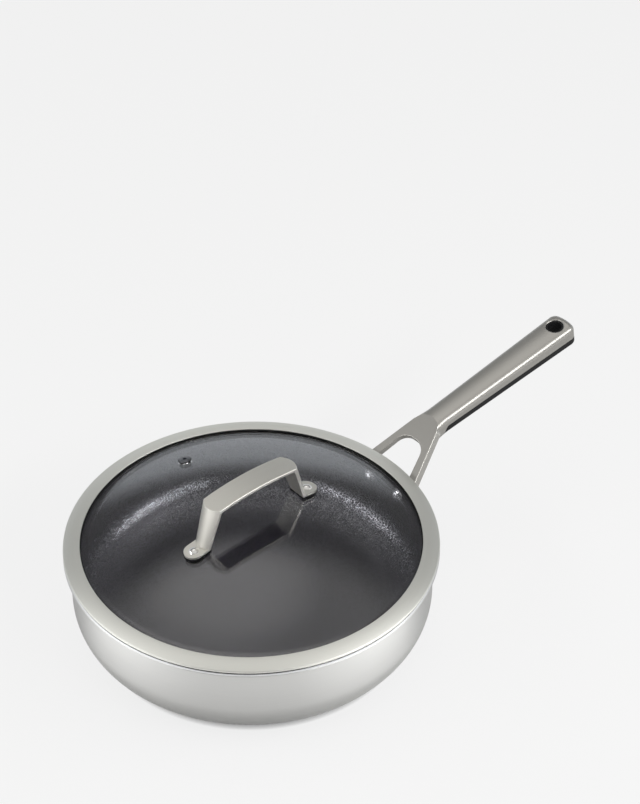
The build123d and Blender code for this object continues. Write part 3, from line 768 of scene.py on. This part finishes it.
class SAUTE_OT_rim_seal(bpy.types.Operator):
    """Turn the black seal that grips the edge of the glass"""

    bl_idname = "saute.rim_seal"
    bl_label = "Rim seal"

    def execute(self, context):
        sizes = context.scene.saute_lid
        inner_radius = sizes.seal_inner_radius
        rim_top = seal_high.z - sizes.seal_thickness
        start_outline(inner_radius, seal_high.z)
        line_to(seal_high.x, seal_high.z)
        line_to(seal_high.x, seal_low.z)
        line_to(inner_radius, seal_low.z)
        line_to(inner_radius, glass_low.z)
        line_to(glass_high.x, glass_low.z)
        line_to(glass_high.x, rim_top)
        line_to(inner_radius, rim_top)
        line_to(inner_radius, seal_high.z)
        turn_outline()
        soften_edges(SEAL_EDGE)
        hand_over("lid_rim_seal", "rim_seal", black_silicone())
        return {"FINISHED"}


class SAUTE_OT_lid_glass(bpy.types.Operator):
    """Finish the domed glass"""

    bl_idname = "saute.lid_glass"
    bl_label = "Lid glass"

    def execute(self, context):
        refinish(tempered_glass(), "lid_glass")
        return {"FINISHED"}


class SAUTE_OT_lid_handle(bpy.types.Operator):
    """Finish the lid handle and its fasteners"""

    bl_idname = "saute.lid_handle"
    bl_label = "Lid handle"

    def execute(self, context):
        refinish(brushed_cast_steel("Brushed stainless steel strip", linear(0xDAD8D1), 0.42),
                 "lid_handle")
        refinish(polished_stainless(),
                 "lid_handle_screws", "steel_washers", "cap_nuts", "vent_washer")
        refinish(oxidised_steel(), "vent_eyelet")
        refinish(black_silicone(), "foot_pads", "inner_seal_washers", "vent_gasket")
        return {"FINISHED"}


class SAUTE_OT_studio(bpy.types.Operator):
    """Lay the floor, set the lamps and place the camera"""

    bl_idname = "saute.studio"
    bl_label = "Studio"

    def execute(self, context):
        studio = context.scene.saute_studio
        self.lay_floor(studio)
        self.light_world(context, studio)
        for name, turn, rise, power in (
                ("Right softbox", studio.right_turn, studio.right_rise, studio.right_power),
                ("Left softbox", studio.left_turn, studio.left_rise, studio.left_power)):
            place = sight_line(studio.camera_bearing + turn, rise) * studio.softbox_distance
            self.hang_softbox(name, power, studio, place)
        self.place_camera(context, studio)
        context.scene.view_settings.view_transform = "Standard"
        return {"FINISHED"}

    def lay_floor(self, studio):
        """A wide sheet of pale paper. It keeps the pan's shadow and otherwise shows near white."""
        material = new_material("Pale studio paper")
        place = object_place(material)
        rays = add_node(material, "ShaderNodeLightPath").outputs
        seen = scalar_math(material, "MAXIMUM", rays["Is Camera Ray"], rays["Is Transmission Ray"])
        # A third of a metre from one pale cloud of the paper to the next
        lit = mix_colours(material, noise(material, place, 1 / 3), linear(0xB8B8B8),
                          linear(0xBCBCBC))
        matt = add_node(material, "ShaderNodeBsdfDiffuse", {
            "Color": mix_colours(material, seen, lit, linear(0x5C5C5C))})
        # The lift fades where the pan hangs close over the paper, so that its shadow stays
        open_sky = add_node(material, "ShaderNodeAmbientOcclusion", {
            "Distance": studio.shadow_reach}, samples=8).outputs["AO"]
        straight = scalar_math(material, "MULTIPLY", seen, studio.floor_lift)
        straight = scalar_math(material, "MULTIPLY", straight, open_sky)
        # Frontness is 1 towards the camera, 0 beside the pan and -1 behind it
        frontness = vector_math(material, "DOT_PRODUCT",
                                vector_math(material, "NORMALIZE", place),
                                -sight_line(studio.camera_bearing, 0))
        corner = soft_ramp(material, frontness, *SIDE_TO_CORNER,
                           studio.side_lift, studio.corner_lift)
        level = soft_ramp(material, frontness, *CORNER_TO_FRONT, corner, studio.front_lift)
        away = soft_ramp(material, vector_math(material, "LENGTH", place),
                         studio.lift_start, studio.lift_end, 0.0, level)
        # A ray through the glass counts as glossy too, and isn't mirrored
        unseen = scalar_math(material, "SUBTRACT", rays["Is Glossy Ray"], seen, clamp=True)
        mirrored = scalar_math(material, "MULTIPLY", unseen, away)
        lift = add_node(material, "ShaderNodeEmission", {
            "Strength": scalar_math(material, "ADD", straight, mirrored)})
        shader = add_node(material, "ShaderNodeAddShader", {
            0: matt.outputs["BSDF"], 1: lift.outputs["Emission"]})
        show(material, shader.outputs["Shader"])
        bpy.ops.object.select_all(action="DESELECT")
        bpy.ops.mesh.primitive_plane_add(size=studio.floor_width, location=(0, 0, 0))
        floor = bpy.context.object
        floor.name = "studio_floor"
        floor.data.materials.append(material)

    def light_world(self, context, studio):
        """Walls of the studio: pale paper around the horizon, a gap above it that is dim except at
        its two sides, a pale ceiling and a soft glow in it behind the pan. The side behind the
        camera is dim down to the floor."""
        world = bpy.data.worlds.new("Studio")
        context.scene.world = world
        world.use_nodes = True
        world.node_tree.nodes.clear()
        direction = add_node(world, "ShaderNodeTexCoord").outputs["Generated"]
        height = add_node(world, "ShaderNodeSeparateXYZ", {"Vector": direction}).outputs["Z"]
        towards_camera = -sight_line(studio.camera_bearing, 0)
        nearness = vector_math(world, "DOT_PRODUCT", direction, towards_camera)
        paper = mix_colours(world, soft_ramp(world, nearness, *FAR_TO_NEAR),
                            linear(0xF3F8FC), linear(0x8C8C8C))
        beside = sight_line(studio.camera_bearing + QUARTER, 0)
        sideness = scalar_math(world, "ABSOLUTE",
                               vector_math(world, "DOT_PRODUCT", direction, beside))
        gap = mix_colours(world, soft_ramp(world, sideness, *MIDDLE_TO_SIDE),
                          linear(0x8A8A8A), linear(0xC0C0C0))
        paper_end = soft_ramp(world, height, *map(math.sin, PAPER_END), 1.0, 0.0)
        wall = mix_colours(world, paper_end, gap, paper)
        ceiling = soft_ramp(world, height, *map(math.sin, CEILING_START))
        room = mix_colours(world, ceiling, wall, linear(0xE4E3E1))
        seen = add_node(world, "ShaderNodeLightPath").outputs["Is Camera Ray"]
        glow_middle = sight_line(studio.camera_bearing + studio.glow_turn, studio.glow_rise)
        glow_nearness = vector_math(world, "DOT_PRODUCT", direction, glow_middle)
        sky = add_node(world, "ShaderNodeBackground", {
            "Color": mix_colours(world, seen, room, linear(0xF3F3F3)),
            "Strength": soft_ramp(world, glow_nearness, math.cos(GLOW_RADIUS), 1.0,
                                  1.0, studio.glow_strength)})
        add_node(world, "ShaderNodeOutputWorld", {"Surface": sky.outputs["Background"]})

    def hang_softbox(self, name, power, studio, place):
        """A wide, low area lamp that faces the pan."""
        bpy.ops.object.light_add(type="AREA", location=place)
        lamp = bpy.context.object
        lamp.name = name
        lamp.data.shape = "RECTANGLE"
        lamp.data.size = studio.softbox_width
        lamp.data.size_y = studio.softbox_depth
        lamp.data.energy = power
        lamp.rotation_euler = (-place).to_track_quat("-Z", "Y").to_euler()

    def place_camera(self, context, studio):
        """The camera looks down over the pan from the side opposite its handle."""
        forward = sight_line(studio.camera_bearing, -studio.camera_pitch)
        place = Vector(studio.view_centre) - forward * studio.camera_distance
        bpy.ops.object.camera_add(
            location=place, rotation=(QUARTER - studio.camera_pitch, 0, -studio.camera_bearing))
        camera = bpy.context.object
        camera.data.lens = studio.camera_lens
        camera.data.clip_start = studio.camera_near
        context.scene.camera = camera


class SAUTE_PT_panel(bpy.types.Panel):
    """Sizes, light and steps of the saute pan"""

    bl_label = "Saute Pan"
    bl_idname = "SAUTE_PT_panel"
    bl_space_type = "VIEW_3D"
    bl_region_type = "UI"
    bl_category = "Saute Pan"

    def draw(self, context):
        for group_name in GROUPS:
            group = getattr(context.scene, group_name)
            box = self.layout.box()
            for name in group.__annotations__:
                box.prop(group, name)
        for step in STEPS:
            self.layout.operator(step.bl_idname)


GROUPS = {"saute_pan": PanSizes, "saute_rivets": RivetSizes, "saute_lid": LidSizes,
          "saute_studio": StudioSettings}
STEPS = (SAUTE_OT_outer_shell, SAUTE_OT_aluminium_core, SAUTE_OT_coated_liner, SAUTE_OT_rivets,
         SAUTE_OT_pan_handle, SAUTE_OT_lid_band, SAUTE_OT_rim_seal, SAUTE_OT_lid_glass,
         SAUTE_OT_lid_handle, SAUTE_OT_studio)


def register():
    """Registers the sizes, the steps and the panel."""
    for group in GROUPS.values():
        bpy.utils.register_class(group)
    for name, group in GROUPS.items():
        setattr(bpy.types.Scene, name, PointerProperty(type=group))
    for step in STEPS:
        bpy.utils.register_class(step)
    bpy.utils.register_class(SAUTE_PT_panel)


def unregister():
    """Takes the panel, the steps and the sizes away again."""
    bpy.utils.unregister_class(SAUTE_PT_panel)
    for step in reversed(STEPS):
        bpy.utils.unregister_class(step)
    for name, group in GROUPS.items():
        delattr(bpy.types.Scene, name)
        bpy.utils.unregister_class(group)


def main():
    """Builds the pan's looks step by step."""
    register()
    for step in STEPS:
        group, name = step.bl_idname.split(".")
        getattr(getattr(bpy.ops, group), name)()


if __name__ == "__main__":
    main()
